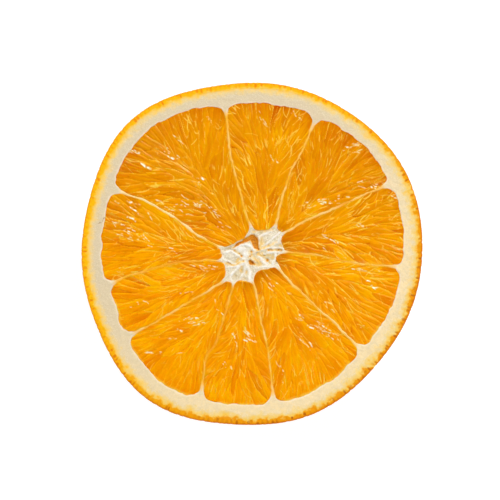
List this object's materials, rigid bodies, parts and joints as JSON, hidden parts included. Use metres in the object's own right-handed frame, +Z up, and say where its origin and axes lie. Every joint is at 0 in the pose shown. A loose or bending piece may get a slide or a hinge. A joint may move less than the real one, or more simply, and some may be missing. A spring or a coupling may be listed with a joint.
{
  "type": "orange half",
  "caption": "Orange cut across its middle: a dome of peel with white pith, membranes and core round juicy pulp segments, cut face up.",
  "frame": {"origin": "on the surface that the half rests on, below the middle of the cut face's bounding box", "axes": "+Z up out of the cut face; +Y towards the top of the cut face as seen from above; +X to its right"},
  "size_m": [0.078, 0.0782, 0.0375],
  "materials": {
    "peel": "waxy, dimpled",
    "pith": "matt, spongy",
    "pulp": "wet"
  },
  "bodies": {
    "root": {"peel": "peel", "pith": "pith", "segment_01": "pulp", "segment_02": "pulp", "segment_03": "pulp", "segment_04": "pulp", "segment_05": "pulp", "segment_06": "pulp", "segment_07": "pulp", "segment_08": "pulp", "segment_09": "pulp", "segment_10": "pulp"}
  },
  "joints": []
}
